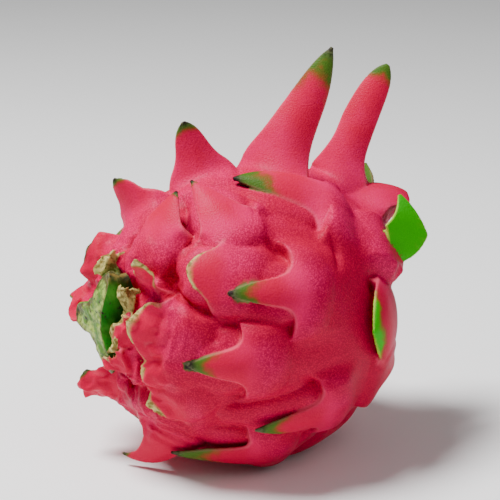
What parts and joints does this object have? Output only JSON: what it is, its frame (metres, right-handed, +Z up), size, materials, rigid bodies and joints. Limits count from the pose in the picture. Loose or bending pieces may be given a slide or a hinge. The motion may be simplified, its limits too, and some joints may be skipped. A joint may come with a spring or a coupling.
{
  "type": "dragon fruit",
  "caption": "Whole dragon fruit lying on its side: leathery crimson rind with flaring, green-tipped scales, and a cut piece of ribbed green stem at one end.",
  "frame": {"origin": "centre of the small flat spot that the fruit rests on", "axes": "+Z up, +X along the fruit's axis from the stem end to the flower end, +Y across it"},
  "size_m": [0.113, 0.0931, 0.126],
  "materials": {
    "rind": "satin, finely pebbled, green at the tips of the scales",
    "stem": "satin green skin with a dry, cream-coloured cut face"
  },
  "bodies": {
    "root": {"fruit": "rind", "stem_stub": "stem"}
  },
  "joints": []
}
